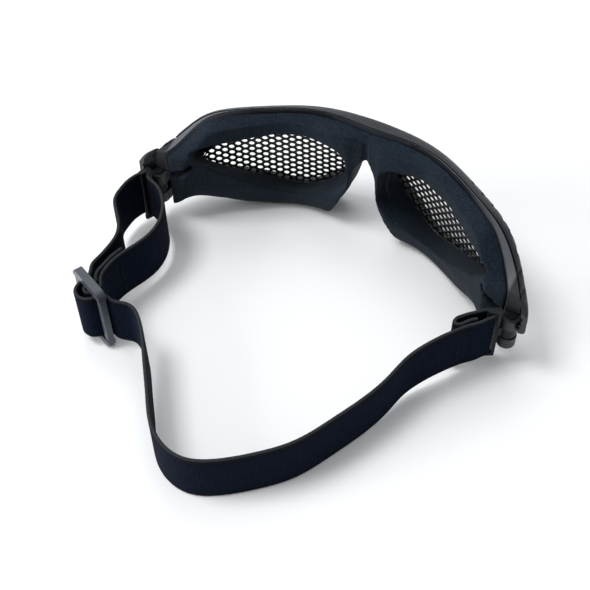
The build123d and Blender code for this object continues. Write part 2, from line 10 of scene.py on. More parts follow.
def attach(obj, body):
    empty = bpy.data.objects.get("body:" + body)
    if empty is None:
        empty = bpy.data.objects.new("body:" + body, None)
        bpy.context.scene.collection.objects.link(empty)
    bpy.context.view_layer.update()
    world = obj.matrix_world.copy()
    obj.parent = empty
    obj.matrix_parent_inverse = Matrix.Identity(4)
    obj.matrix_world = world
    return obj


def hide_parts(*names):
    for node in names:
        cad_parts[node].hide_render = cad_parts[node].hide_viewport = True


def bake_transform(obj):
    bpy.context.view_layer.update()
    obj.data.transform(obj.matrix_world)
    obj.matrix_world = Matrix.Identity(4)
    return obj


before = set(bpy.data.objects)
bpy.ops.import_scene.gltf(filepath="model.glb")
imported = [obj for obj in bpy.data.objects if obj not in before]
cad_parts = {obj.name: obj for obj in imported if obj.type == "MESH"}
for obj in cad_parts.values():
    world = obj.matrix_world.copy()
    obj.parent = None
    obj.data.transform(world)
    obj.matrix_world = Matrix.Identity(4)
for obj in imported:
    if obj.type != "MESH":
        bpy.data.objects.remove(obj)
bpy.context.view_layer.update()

# Perforated safety goggles. Points are written in millimetres in the frame of the symmetry plane,
# and placed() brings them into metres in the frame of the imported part.
MM = 0.001
HALF = 0.5
SHIFT_Y = -58.306457916
SCENE = bpy.context.scene


def placed(points):
    """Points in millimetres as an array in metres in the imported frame."""
    array = np.array(points, float).reshape(-1, 3)
    return (array + (0, SHIFT_Y, 0)) * MM


# Camera at the photograph's place, in metres, with its lens and sensor in millimetres
CAMERA_PLACE = (-0.1292, 0.2096, 0.3047)
CAMERA_RIGHT = (-0.8636, -0.5041, -0.0077)
CAMERA_AHEAD = (0.3349, -0.5622, -0.7562)
FOCAL_LENGTH = 62.65
SENSOR_WIDTH = 36.0
VIEW_NEAR = 0.01
VIEW_FAR = 20.0

# Floor and surroundings
FLOOR_HALF = 3.0
FLOOR_DROP = 0.0002
FLOOR_COLOUR = (0.92, 0.93, 0.94)
FLOOR_ROUGHNESS = 0.9
FLOOR_SPECULAR = 0.1
WORLD_COLOUR = (0.93, 0.97, 1.0)
WORLD_STRENGTH = 0.34

# Square lights aimed at the goggles: place and size in metres, power in watts
LIGHTS = {
    "light_key": ((0.5, 0.29, 1.2), 0.45, 8.0),
    "light_top": ((0.0, 0.0, 1.5), 1.8, 7.0),
    "light_front": ((0.38, -0.65, 0.88), 0.7, 2.6),
    "light_side": ((0.95, 0.8, 0.42), 0.7, 11.0),
}


def make_camera():
    """Camera at the photograph's angle."""
    camera = bpy.data.cameras.new("camera")
    holder = bpy.data.objects.new("camera", camera)
    SCENE.collection.objects.link(holder)
    right = Vector(CAMERA_RIGHT).normalized()
    ahead = Vector(CAMERA_AHEAD).normalized()
    up = right.cross(ahead).normalized()
    right = ahead.cross(up)
    turn = Matrix((right, up, -ahead)).transposed().to_4x4()
    holder.matrix_world = Matrix.Translation(CAMERA_PLACE) @ turn
    camera.lens = FOCAL_LENGTH
    camera.sensor_width = SENSOR_WIDTH
    camera.clip_start = VIEW_NEAR
    camera.clip_end = VIEW_FAR
    SCENE.camera = holder


def make_floor():
    """Pale floor under the object."""
    mesh = bpy.data.meshes.new("floor")
    corners = [(a * FLOOR_HALF, b * FLOOR_HALF, 0) for a, b in ((-1, -1), (1, -1), (1, 1), (-1, 1))]
    mesh.from_pydata(corners, [], [(0, 1, 2, 3)])
    floor = bpy.data.objects.new("floor", mesh)
    SCENE.collection.objects.link(floor)
    floor.location.z = -FLOOR_DROP
    material = bpy.data.materials.new("floor_paper")
    material.use_nodes = True
    shader = material.node_tree.nodes["Principled BSDF"]
    shader.inputs["Base Color"].default_value = (*FLOOR_COLOUR, 1)
    shader.inputs["Roughness"].default_value = FLOOR_ROUGHNESS
    shader.inputs["Specular IOR Level"].default_value = FLOOR_SPECULAR
    mesh.materials.append(material)


def make_light(name, place, size, power):
    """Soft square light aimed at the goggles."""
    lamp = bpy.data.lights.new(name, "AREA")
    lamp.shape = "SQUARE"
    lamp.size = size
    lamp.energy = power
    holder = bpy.data.objects.new(name, lamp)
    SCENE.collection.objects.link(holder)
    holder.location = place
    holder.rotation_mode = "QUATERNION"
    holder.rotation_quaternion = (-Vector(place)).to_track_quat("-Z", "Y")


def make_world():
    """Even pale surroundings."""
    world = bpy.data.worlds.new("studio")
    world.use_nodes = True
    back = world.node_tree.nodes["Background"]
    back.inputs["Color"].default_value = (*WORLD_COLOUR, 1)
    back.inputs["Strength"].default_value = WORLD_STRENGTH
    SCENE.world = world


def make_stage():
    """Camera, floor, surroundings and lights."""
    SCENE.view_settings.view_transform = "Standard"
    make_camera()
    make_floor()
    make_world()
    for name, (place, size, power) in LIGHTS.items():
        make_light(name, place, size, power)


# Materials. Lengths are in metres. A noise is its scale in cells per metre, its detail and its roughness.
BROAD_NOISE = (90.0, 4.0)
BROAD_RANGE = (0.3, 0.7)
GRAIN_DETAIL = 2.0

# Plain surfaces: dark and light colour, roughness, its spread, grain, its depth and specular level
SURFACES = {
    "shell_plastic": ((0.010, 0.012, 0.0155), (0.017, 0.020, 0.025), 0.44, 0.05, 2600.0, 0.00003, 0.5),
    "buckle_plastic": ((0.04, 0.047, 0.06), (0.06, 0.069, 0.086), 0.34, 0.06, 1800.0, 0.00002, 0.5),
    "clip_plastic": ((0.0045, 0.006, 0.0085), (0.009, 0.011, 0.0145), 0.4, 0.05, 2200.0, 0.00002, 0.18),
    "pin_metal": ((0.006, 0.007, 0.009), (0.012, 0.0135, 0.016), 0.4, 0.05, 1500.0, 0.00001, 0.18),
    "rim_plastic": ((0.02, 0.023, 0.028), (0.034, 0.038, 0.044), 0.16, 0.04, 2600.0, 0.00001, 0.5),
    "mesh_paint": ((0.004, 0.0044, 0.005), (0.008, 0.0085, 0.0095), 0.42, 0.05, 3000.0, 0.00001, 0.5),
}

# Frame: distances from the middle over which its nose, the painted highlight of its temple strips and its
# hinge lugs come in
NOSE_RANGE = (0.018, 0.014)
TEMPLE_HIGHLIGHT_RANGE = (0.046, 0.062)
LUG_RANGE = (0.0725, 0.0735)
FRAME_PLAIN = (0.012, 0.014, 0.018)
FRAME_DARK = (0.011, 0.013, 0.017)
FRAME_LIGHT = (0.018, 0.021, 0.026)
FRAME_NOSE = (0.0042, 0.0085, 0.0155)
# Painted highlight colour of the temple strips
FRAME_TEMPLE_HIGHLIGHT = (0.098, 0.105, 0.118)
FRAME_LUG = (0.007, 0.0085, 0.011)
FRAME_ROUGHNESS = 0.26
FRAME_ROUGH_RANGE = (0.24, 0.3)
LUG_DULL = 0.22
NOSE_DULL = 0.6
FRAME_GRAIN = 2600.0
FRAME_RELIEF = 0.00001

# Pad: clouds, rubbed places, fine grain and the painted shade of the slots
PAD_CLOUD_NOISE = (160.0, 5.0, 0.6)
PAD_RUB_NOISE = (45.0, 3.0)
PAD_RUB_RANGE = (0.5, 0.7)
PAD_RUB_SHARE = 0.7
PAD_GRAIN_NOISE = (1400.0, 2.0)
PAD_GRAIN_RANGE = (0.42, 0.66)
PAD_GRAIN_SHARE = 0.6
PAD_PLAIN = (0.005, 0.0085, 0.0155)
PAD_DARK = (0.0038, 0.0077, 0.0143)
PAD_LIGHT = (0.0062, 0.0115, 0.0197)
PAD_RUBBED = (0.0125, 0.0195, 0.0292)
PAD_GRAIN = (0.0165, 0.0245, 0.0345)
# Painted shade colour of the slots
PAD_SLOT_SHADE = (0.0006, 0.0007, 0.001)
PAD_ROUGHNESS = 0.8
PAD_SPECULAR = 0.08
PAD_SHEEN = 0.03
PAD_SHEEN_ROUGHNESS = 0.6
PAD_PORE_NOISE = (4200.0, 2.0)
PAD_RELIEF = 0.00006

# Slot in each temple end of the pad: its ends in millimetres, and in metres how far its painted shade
# reaches
SLOT_ENDS = ((62.9, 26.1, 29.0), (70.0, 28.5, 22.8))
SLOT_SHADE_RANGE = (0.0015, 0.0009)

# Webbing: pitches and shares of its pattern, distances from its edge, and colours
WEAVE_RIB = 0.00095
WEAVE_WARP = 0.0011
WARP_SHARE = 0.25
BAND_RANGE = (0.0019, 0.0015)
RIM_HIGHLIGHT_RANGE = (0.0006, 0.0002)
GROOVE_PLACE = 0.0019
GROOVE_RANGE = (0.0004, 0.0001)
GROOVE_SHARE = 0.6
STREAK_STRETCH = (1000.0, 260.0, 1.0)
STREAK_DETAIL = 4.0
STREAK_ROUGHNESS = 0.65
STREAK_RANGE = (0.35, 0.75)
STREAK_SHARE = 0.6
RIB_SHARE = 0.4
FLECK_NOISE = (1500.0, 1.0)
FLECK_RANGE = (0.68, 0.78)
FLECK_SHARE = 0.7
STITCH_PITCH = 0.0016
STITCH_RANGE = (0.00035, 0.00021)
STITCH_BORDER = (0.0026, 0.0029)
THREAD_RANGE = (-0.4, 0.0)
THREAD_SUNK = 1.2
THREAD_RAISED = -0.6
SUNK_WEIGHT = 3.0
WEB_PLAIN = (0.006, 0.01, 0.02)
WEB_DARK = (0.0015, 0.0033, 0.0104)
WEB_LIGHT = (0.0056, 0.0106, 0.0236)
WEB_FLECK = (0.019, 0.027, 0.043)
WEB_BAND = (0.0062, 0.0078, 0.0102)
# Painted shade colour of the edge grooves
WEB_GROOVE_SHADE = (0.001, 0.0014, 0.0022)
# Painted highlight colour of the strap's rim
WEB_RIM_HIGHLIGHT = (0.03, 0.034, 0.039)
WEB_THREAD = (0.011, 0.014, 0.02)
WEB_ROUGHNESS = 0.85
WEB_SPECULAR = 0.03
WEB_SHEEN = 0.01
WEB_SHEEN_ROUGHNESS = 0.5
WEB_RELIEF = 0.00007
WEB_RELIEF_STRENGTH = 0.8


class Nodes:
    """Short way to add and join shader nodes, over a plain colour and roughness."""

    def __init__(self, name, colour, roughness):
        self.material = bpy.data.materials.new(name)
        self.material.use_nodes = True
        self.tree = self.material.node_tree
        self.shader = self.tree.nodes["Principled BSDF"]
        self.set("Base Color", (*colour, 1))
        self.set("Roughness", roughness)

    def set(self, socket, value):
        """Constant on one of the shader's own sockets."""
        self.shader.inputs[socket].default_value = value

    def add(self, kind, **values):
        """Node of a kind, with its sockets and settings by name."""
        node = self.tree.nodes.new(kind)
        for key, value in values.items():
            if hasattr(node, key):
                setattr(node, key, value)
            else:
                node.inputs[key].default_value = value
        return node

    def join(self, source, target):
        """Link from an output socket to an input socket."""
        self.tree.links.new(source, target)

    def place(self):
        """Place on the object in metres."""
        return self.add("ShaderNodeTexCoord").outputs["Object"]

    def split(self, source):
        """Node with the three numbers of a vector as its outputs."""
        node = self.add("ShaderNodeSeparateXYZ")
        self.join(source, node.inputs["Vector"])
        return node

    def noise(self, scale, detail=3.0, rough=0.5):
        """Noise over the object at a scale in cells per metre."""
        node = self.add("ShaderNodeTexNoise", Scale=scale, Detail=detail, Roughness=rough)
        self.join(self.place(), node.inputs["Vector"])
        return node.outputs["Fac"]

    def ramp(self, source, low, high, start, end):
        """Value mapped from a range to another."""
        node = self.add("ShaderNodeMapRange")
        node.inputs["From Min"].default_value = low
        node.inputs["From Max"].default_value = high
        node.inputs["To Min"].default_value = start
        node.inputs["To Max"].default_value = end
        self.join(source, node.inputs["Value"])
        return node.outputs["Result"]

    def work(self, kind, first, second=0.0):
        """One step of arithmetic on two values, each a number or a socket."""
        node = self.add("ShaderNodeMath", operation=kind)
        for socket, value in zip(node.inputs, (first, second)):
            if isinstance(value, (int, float)):
                socket.default_value = value
            else:
                self.join(value, socket)
        return node.outputs["Value"]

    def sum(self, first, second):
        """Sum of two values."""
        return self.work("ADD", first, second)

    def product(self, first, second):
        """Product of two values."""
        return self.work("MULTIPLY", first, second)

    def distance(self, value, place):
        """How far a value is from a place."""
        return self.work("ABSOLUTE", self.work("SUBTRACT", value, place))

    def wave(self, value, pitch):
        """Sine wave of a pitch over a value."""
        return self.work("SINE", self.product(value, 2 * math.pi / pitch))

    def mix(self, share, first, second):
        """Colour between two, each given as numbers or as a socket."""
        node = self.add("ShaderNodeMix", data_type="RGBA")
        for socket, value in ((node.inputs[6], first), (node.inputs[7], second)):
            if isinstance(value, tuple):
                socket.default_value = (*value, 1)
            else:
                self.join(value, socket)
        self.join(share, node.inputs["Factor"])
        return node.outputs[2]

    def tint(self, share, first, second):
        """Base colour between two colours."""
        self.join(self.mix(share, first, second), self.shader.inputs["Base Color"])

    def roughen(self, source):
        """Roughness from a value."""
        self.join(source, self.shader.inputs["Roughness"])

    def relief(self, source, depth, strength=1.0):
        """Bump from a height value, its depth in metres."""
        node = self.add("ShaderNodeBump", Strength=strength, Distance=depth)
        self.join(source, node.inputs["Height"])
        self.join(node.outputs["Normal"], self.shader.inputs["Normal"])


def broad_share(made):
    """Share that wanders slowly between 0 and 1 over the surface."""
    return made.ramp(made.noise(*BROAD_NOISE), *BROAD_RANGE, 0, 1)


def plain_surface(name):
    """Plastic, metal or paint: slight colour and gloss variation over a fine grain."""
    dark, light, roughness, spread, grain, depth, specular = SURFACES[name]
    made = Nodes(name, dark, roughness)
    broad = broad_share(made)
    made.tint(broad, dark, light)
    made.roughen(made.ramp(broad, 0, 1, roughness - spread, roughness + spread))
    made.set("Specular IOR Level", specular)
    made.relief(made.noise(grain, GRAIN_DETAIL), depth)
    return made.material


def frame_material():
    """Glossy plastic of the frame: paler along the temple strips as a painted highlight, dark and dull at
    nose and lugs.
    """
    made = Nodes("frame_plastic", FRAME_PLAIN, FRAME_ROUGHNESS)
    aside = made.work("ABSOLUTE", made.split(made.place()).outputs["X"])
    nose = made.ramp(aside, *NOSE_RANGE, 0, 1)
    temple = made.ramp(aside, *TEMPLE_HIGHLIGHT_RANGE, 0, 1)
    lug = made.ramp(aside, *LUG_RANGE, 0, 1)
    broad = broad_share(made)
    plain = made.mix(nose, made.mix(broad, FRAME_DARK, FRAME_LIGHT), FRAME_NOSE)
    # Painted highlight: pale grey colour along the temple strips
    made.tint(lug, made.mix(temple, plain, FRAME_TEMPLE_HIGHLIGHT), FRAME_LUG)
    dull = made.sum(made.ramp(lug, 0, 1, 0, LUG_DULL), made.ramp(nose, 0, 1, 0, NOSE_DULL))
    made.roughen(made.sum(made.ramp(broad, 0, 1, *FRAME_ROUGH_RANGE), dull))
    made.relief(made.noise(FRAME_GRAIN, GRAIN_DETAIL), FRAME_RELIEF)
    return made.material


def slot_shade_share(made):
    """Share from 0 to 1 that says how close a place on the pad is to the slot at its temple end, where the
    pad gets painted shade.
    """
    start, end = placed(SLOT_ENDS)
    along = end - start
    place = made.split(made.place())
    folded = made.add("ShaderNodeCombineXYZ")
    made.join(made.work("ABSOLUTE", place.outputs["X"]), folded.inputs["X"])
    made.join(place.outputs["Y"], folded.inputs["Y"])
    made.join(place.outputs["Z"], folded.inputs["Z"])
    offset = made.add("ShaderNodeVectorMath", operation="SUBTRACT")
    made.join(folded.outputs["Vector"], offset.inputs[0])
    offset.inputs[1].default_value = tuple(start)
    dot = made.add("ShaderNodeVectorMath", operation="DOT_PRODUCT")
    made.join(offset.outputs["Vector"], dot.inputs[0])
    dot.inputs[1].default_value = tuple(along / (along @ along))
    nearest = made.add("ShaderNodeVectorMath", operation="SCALE")
    nearest.inputs[0].default_value = tuple(along)
    made.join(made.ramp(dot.outputs["Value"], 0, 1, 0, 1), nearest.inputs["Scale"])
    gap = made.add("ShaderNodeVectorMath", operation="DISTANCE")
    made.join(offset.outputs["Vector"], gap.inputs[0])
    made.join(nearest.outputs["Vector"], gap.inputs[1])
    return made.ramp(gap.outputs["Value"], *SLOT_SHADE_RANGE, 0, 1)


def pad_material():
    """Soft matte pad with a fine velvety grain, paler rubbed places and painted shade in the slots."""
    made = Nodes("pad_skin", PAD_PLAIN, PAD_ROUGHNESS)
    cloud = made.ramp(made.noise(*PAD_CLOUD_NOISE), *BROAD_RANGE, 0, 1)
    rubbed = made.ramp(made.noise(*PAD_RUB_NOISE), *PAD_RUB_RANGE, 0, PAD_RUB_SHARE)
    grain = made.ramp(made.noise(*PAD_GRAIN_NOISE), *PAD_GRAIN_RANGE, 0, PAD_GRAIN_SHARE)
    skin = made.mix(rubbed, made.mix(cloud, PAD_DARK, PAD_LIGHT), PAD_RUBBED)
    # Painted shade: near black along each slot
    made.tint(slot_shade_share(made), made.mix(grain, skin, PAD_GRAIN), PAD_SLOT_SHADE)
    made.set("Sheen Weight", PAD_SHEEN)
    made.set("Sheen Roughness", PAD_SHEEN_ROUGHNESS)
    made.set("Specular IOR Level", PAD_SPECULAR)
    made.relief(made.noise(*PAD_PORE_NOISE), PAD_RELIEF)
    return made.material


def strap_material(seams):
    """Woven elastic: ribs, flecks, a smooth band and a groove along each edge with painted shade in the
    groove, a painted highlight along the rim, and seams.
    """
    made = Nodes("strap_weave", WEB_PLAIN, WEB_ROUGHNESS)
    flat = made.add("ShaderNodeUVMap", uv_map="strap").outputs["UV"]
    place = made.split(flat)
    along, across = place.outputs["X"], place.outputs["Y"]
    middle = HALF * STRAP_WIDTH * MM
    border = made.work("SUBTRACT", middle, made.distance(across, middle))
    rib = made.wave(along, WEAVE_RIB)
    warp = made.wave(across, WEAVE_WARP)
    stretched = made.add("ShaderNodeMapping", Scale=STREAK_STRETCH)
    made.join(flat, stretched.inputs["Vector"])
    streaks = made.add("ShaderNodeTexNoise", Scale=1.0, Detail=STREAK_DETAIL, Roughness=STREAK_ROUGHNESS)
    made.join(stretched.outputs["Vector"], streaks.inputs["Vector"])
    streak = streaks.outputs["Fac"]
    groove = made.ramp(made.distance(border, GROOVE_PLACE), *GROOVE_RANGE, 0, GROOVE_SHARE)
    worn = made.sum(made.ramp(rib, -1, 1, 0, RIB_SHARE), made.ramp(streak, *STREAK_RANGE, 0, STREAK_SHARE))
    face = made.mix(worn, WEB_DARK, WEB_LIGHT)
    face = made.mix(made.ramp(made.noise(*FLECK_NOISE), *FLECK_RANGE, 0, FLECK_SHARE), face, WEB_FLECK)
    face = made.mix(made.ramp(border, *BAND_RANGE, 0, 1), face, WEB_BAND)
    # Painted shade: the groove along each edge is darkened
    face = made.mix(groove, face, WEB_GROOVE_SHADE)
    # Painted highlight: paler colour along the rim of each edge
    face = made.mix(made.ramp(border, *RIM_HIGHLIGHT_RANGE, 0, 1), face, WEB_RIM_HIGHLIGHT)
    thread = made.ramp(made.wave(across, STITCH_PITCH), *THREAD_RANGE, 0, 1)
    rows = 0.0
    for seam in seams:
        rows = made.sum(made.ramp(made.distance(along, seam), *STITCH_RANGE, 0, 1), rows)
    stitched = made.product(rows, made.ramp(border, *STITCH_BORDER, 0, 1))
    made.tint(made.product(stitched, thread), face, WEB_THREAD)
    weave = made.sum(made.sum(rib, made.product(warp, WARP_SHARE)), streak)
    sunk = made.sum(groove, made.product(rows, made.ramp(thread, 0, 1, THREAD_SUNK, THREAD_RAISED)))
    height = made.work("SUBTRACT", weave, made.product(sunk, SUNK_WEIGHT))
    made.relief(height, WEB_RELIEF, WEB_RELIEF_STRENGTH)
    made.set("Sheen Weight", WEB_SHEEN)
    made.set("Sheen Roughness", WEB_SHEEN_ROUGHNESS)
    made.set("Specular IOR Level", WEB_SPECULAR)
    return made.material


# Rounded edges of the CAD pieces: their widths in metres, and from which angle an edge is rounded
EDGE_WIDTHS = {"slider_buckle": 0.0009, "strap_clip_left": 0.0003, "strap_clip_right": 0.0003}
EDGE_SEGMENTS = 3
EDGE_ANGLE = math.radians(35)
WELD_DISTANCE = 0.000002


def dress(node, material):
    """Gives a CAD node a material."""
    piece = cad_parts[node]
    piece.data.materials.clear()
    piece.data.materials.append(material)


def round_edges(node, width):
    """Rounds the edges of a CAD node with modifiers, so that they catch the light."""
    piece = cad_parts[node]
    weld = piece.modifiers.new("weld", "WELD")
    weld.merge_threshold = WELD_DISTANCE
    bevel = piece.modifiers.new("bevel", "BEVEL")
    bevel.width = width
    bevel.segments = EDGE_SEGMENTS
    bevel.limit_method = "ANGLE"
    bevel.angle_limit = EDGE_ANGLE
    bevel.harden_normals = False
    normals = piece.modifiers.new("normals", "WEIGHTED_NORMAL")
    normals.keep_sharp = True


# Smooth lines through points
def smooth_line(points, closed=False):
    """Function from a share of the chord length to a point on a smooth line, and each point's share."""
    spots = np.array(points, float)
    if closed:
        spots = np.vstack([spots, spots[:1]])
    chord = np.linalg.norm(np.diff(spots, axis=0), axis=1)
    knots = np.concatenate([[0], np.cumsum(chord)])
    count = len(spots)
    rows = np.zeros((count, count))
    sides = np.zeros((count, spots.shape[1]))
    slopes = np.diff(spots, axis=0) / chord[:, None]
    for i in range(1, count - 1):
        rows[i, i - 1 : i + 2] = (chord[i - 1], 2 * (chord[i - 1] + chord[i]), chord[i])
        sides[i] = 6 * (slopes[i] - slopes[i - 1])
    if closed:
        rows[0, 0], rows[0, -1] = 1, -1
        rows[-1, 0] = 2 * (chord[-1] + chord[0])
        rows[-1, 1], rows[-1, -2] = chord[0], chord[-1]
        sides[-1] = 6 * (slopes[0] - slopes[-1])
    else:
        rows[0, 0] = rows[-1, -1] = 1
    bends = np.linalg.solve(rows, sides)

    def at(shares):
        t = np.clip(np.asarray(shares, float), 0, 1) * knots[-1]
        i = np.clip(np.searchsorted(knots, t, "right") - 1, 0, count - 2)
        h = chord[i][:, None]
        a = (knots[i + 1] - t)[:, None] / h
        b = 1 - a
        curve = ((a**3 - a) * bends[i] + (b**3 - b) * bends[i + 1]) * h**2 / 6
        return a * spots[i] + b * spots[i + 1] + curve

    return at, knots / knots[-1]


def unit_rows(vectors):
    """Vectors brought to length one."""
    return vectors / np.linalg.norm(vectors, axis=1)[:, None]


# Perforated lenses. The left one is written, and the right one is its mirror image with turned rows.
LENS_CENTRE = (37.3, -5.76, 24.5)
LENS_YAW = math.radians(24.9)
LENS_LEAN = math.radians(8.1)
LENS_ROLL = math.radians(23.4)
LENS_RADIUS = 118.7
LENS_THICKNESS = 0.6
LENS_BORDER = 1.7
LENS_STEPS = 200
LENS_SHARP_ANGLE = 0.7
CUT_MERGE = 0.000001
MESH_PITCH = 3.2
MESH_HOLE = 2.35
LATTICE_TURN = {1: 0.0, -1: 15.0}
HOLE_SIDES = 18
HOLE_MARGIN = 0.35
HOLE_LIMIT_STEPS = 240
WINDOW_HALF = 30.0
WINDOW_STEP = 0.001
WINDOW_SHARES = [
    (-0.97, 0.14),
    (-0.9, -0.12),
    (-0.68, -0.42),
    (-0.4, -0.6),
    (-0.12, -0.6),
    (0.2, -0.5),
    (0.6, -0.37),
    (0.98, -0.25),
    (1.13, -0.1),
    (1.06, 0.08),
    (0.75, 0.32),
    (0.3, 0.49),
    (-0.2, 0.54),
    (-0.65, 0.47),
    (-0.88, 0.33),
]

# Glossy bead round each window
RIM_INSET = 0.2
RIM_RADIUS = 0.35
RIM_STEPS = 160
RIM_SIDES = 8


def from_bmesh(made, name, material):
    """Object from a bmesh, with one material."""
    bmesh.ops.recalc_face_normals(made, faces=made.faces)
    mesh = bpy.data.meshes.new(name)
    made.to_mesh(mesh)
    made.free()
    mesh.materials.append(material)
    piece = bpy.data.objects.new(name, mesh)
    SCENE.collection.objects.link(piece)
    return piece


def lens_axes():
    """Directions of the left lens at its middle: along, up and outward."""
    along = np.array((math.cos(LENS_YAW), math.sin(LENS_YAW), 0))
    inward = np.array((-math.sin(LENS_YAW), math.cos(LENS_YAW), 0))
    outward = -inward * math.cos(LENS_LEAN) + np.array((0, 0, 1)) * math.sin(LENS_LEAN)
    return along, np.cross(outward, along), outward


def rolled(points, angle):
    """Flat points turned anticlockwise by an angle."""
    x, y = points[:, 0], points[:, 1]
    cos, sin = math.cos(angle), math.sin(angle)
    return np.stack([x * cos - y * sin, x * sin + y * cos], 1)


def window_line(margin, count):
    """Outline of the left window in the lens plane, moved outwards."""
    at, _ = smooth_line(np.array(WINDOW_SHARES) * WINDOW_HALF, closed=True)
    shares = np.arange(count) / count
    ahead = unit_rows(at((shares + WINDOW_STEP) % 1) - at((shares - WINDOW_STEP) % 1))
    return at(shares) + np.stack([ahead[:, 1], -ahead[:, 0]], 1) * margin


def inside(points, outline):
    """Which points lie inside a closed outline."""
    x, y = points[:, 0][:, None], points[:, 1][:, None]
    ax, ay = outline[:, 0], outline[:, 1]
    bx, by = np.roll(ax, -1), np.roll(ay, -1)
    with np.errstate(divide="ignore", invalid="ignore"):
        crosses = ((ay > y) != (by > y)) & (x < (bx - ax) * (y - ay) / (by - ay) + ax)
    return crosses.sum(1) % 2 == 1


def to_lens_plane(spots):
    """Points of the unrolled sheet as seen straight on, in the lens plane."""
    bent = np.stack([LENS_RADIUS * np.sin(spots[:, 0] / LENS_RADIUS), spots[:, 1]], 1)
    return rolled(bent, -LENS_ROLL)


def on_lens(flat, offset):
    """Points of the lens plane brought onto the bent left lens, at an offset from its middle surface."""
    along, up, outward = lens_axes()
    turned = rolled(flat, LENS_ROLL)
    depth = np.sqrt((LENS_RADIUS + offset) ** 2 - turned[:, 0] ** 2) - LENS_RADIUS
    return np.array(LENS_CENTRE) + flat[:, :1] * along + flat[:, 1:] * up + depth[:, None] * outward


def hole_centres(side):
    """Places in the unrolled sheet of the holes that fit inside it."""
    turn = math.radians(LATTICE_TURN[side]) + LENS_ROLL
    row = MESH_PITCH * math.sqrt(3) / 2
    reach = math.ceil(2 * WINDOW_HALF / MESH_PITCH)
    steps = range(-reach, reach + 1)
    grid = np.array([(i * row, (j + HALF * (i % 2)) * MESH_PITCH) for i in steps for j in steps])
    spots = rolled(grid, turn)
    flat = to_lens_plane(spots)
    limit = window_line(LENS_BORDER - MESH_HOLE / 2 - HOLE_MARGIN, HOLE_LIMIT_STEPS)
    keep = inside(flat, limit) & (np.linalg.norm(flat, axis=1) < 2 * WINDOW_HALF)
    return spots[keep]


def perforated(side):
    """Flat points and faces of the sheet between its outline and its holes."""
    angles = np.arange(HOLE_SIDES) * 2 * math.pi / HOLE_SIDES
    ring = np.stack([np.cos(angles), np.sin(angles)], 1) * MESH_HOLE / 2
    spots = [Vector(p) for p in window_line(LENS_BORDER, LENS_STEPS)]
    loops = [list(range(len(spots)))]
    for centre in hole_centres(side):
        start = len(spots)
        spots += [Vector(p) for p in to_lens_plane(centre + ring)]
        loops.append(list(range(start, start + HOLE_SIDES)))
    edges = [(loop[k], loop[(k + 1) % len(loop)]) for loop in loops for k in range(len(loop))]
    points, _, faces, _, _, origins = delaunay_2d_cdt(spots, edges, loops, 1, CUT_MERGE)
    kept = [face for face, origin in zip(faces, origins) if list(origin) == [0]]
    return np.array([tuple(p) for p in points]), kept


def make_lens(side, material):
    """Sheet with round holes, bent like the CAD lens."""
    flat, faces = perforated(side)
    layers = [on_lens(flat, offset) * (side, 1, 1) for offset in (LENS_THICKNESS / 2, -LENS_THICKNESS / 2)]
    count = len(flat)
    made = bmesh.new()
    verts = [made.verts.new(p) for p in placed(np.vstack(layers))]
    open_edges = {}
    for face in faces:
        made.faces.new([verts[i] for i in face]).smooth = True
        made.faces.new([verts[i + count] for i in reversed(face)]).smooth = True
        for k in range(len(face)):
            edge = (face[k], face[(k + 1) % len(face)])
            if open_edges.pop((edge[1], edge[0]), None) is None:
                open_edges[edge] = True
    for a, b in open_edges:
        made.faces.new([verts[b], verts[a], verts[a + count], verts[b + count]]).smooth = True
    for edge in made.edges:
        if len(edge.link_faces) == 2 and edge.calc_face_angle(0) > LENS_SHARP_ANGLE:
            edge.smooth = False
    piece = from_bmesh(made, "lens_mesh_left" if side > 0 else "lens_mesh_right", material)
    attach(piece, "goggles")
    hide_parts("mesh_lens_left" if side > 0 else "mesh_lens_right")


def make_rim(side, material):
    """Thin glossy bead round the window, on the inner face of the mesh."""
    outward = lens_axes()[2]
    spots = on_lens(window_line(-RIM_INSET, RIM_STEPS), -LENS_THICKNESS / 2 - RIM_RADIUS)
    ahead = unit_rows(np.roll(spots, -1, 0) - np.roll(spots, 1, 0))
    sideways = unit_rows(np.cross(ahead, outward))
    upright = np.cross(sideways, ahead)
    made = bmesh.new()
    rings = []
    for k in range(RIM_SIDES):
        angle = 2 * math.pi * k / RIM_SIDES
        ring = spots + RIM_RADIUS * (math.cos(angle) * sideways + math.sin(angle) * upright)
        rings.append([made.verts.new(p) for p in placed(ring * (side, 1, 1))])
    for k in range(RIM_SIDES):
        near, far = rings[k], rings[(k + 1) % RIM_SIDES]
        for i in range(RIM_STEPS):
            n = (i + 1) % RIM_STEPS
            made.faces.new([near[i], near[n], far[n], far[i]]).smooth = True
    piece = from_bmesh(made, "lens_rim_left" if side > 0 else "lens_rim_right", material)
    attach(piece, "goggles")


# Pad from the nose to the temple: distance from the middle, its front, its back, its top
PAD_LINE = np.array([
    (0, -5.8, -3.0, 50.7),
    (8, -6.2, -0.7, 50.6),
    (20, -6.2, -0.1, 50.2),
    (28, -3.8, 0.7, 49.8),
    (37, -0.3, 4.8, 49.5),
    (45, 4.0, 10.9, 49.2),
    (52, 9.0, 16.5, 48.8),
    (60, 14.8, 23.5, 46.3),
    (66, 18.5, 28.2, 40.2),
])
PAD_SLOPE = (0.3, 2.6)
PAD_SLOPE_END = (54.0, 60.0)
CREASE_HALF = 1.7
CREASE_DEPTH = 1.6
CREASE_HEIGHTS = (47.5, 45.5)
END_START = 55.0
END_DROP = 0.75
END_HEIGHTS = (20.0, 28.0)
SLOT_HALF = 1.1
SLOT_DEPTH = 3.0
SLOT_POWER = 4
SLOT_INTO = np.array((1.0, -1.0, 0)) / math.sqrt(2)
PAD_VOXELS = (0.0007, 0.0005)
PAD_ROUNDS = 3

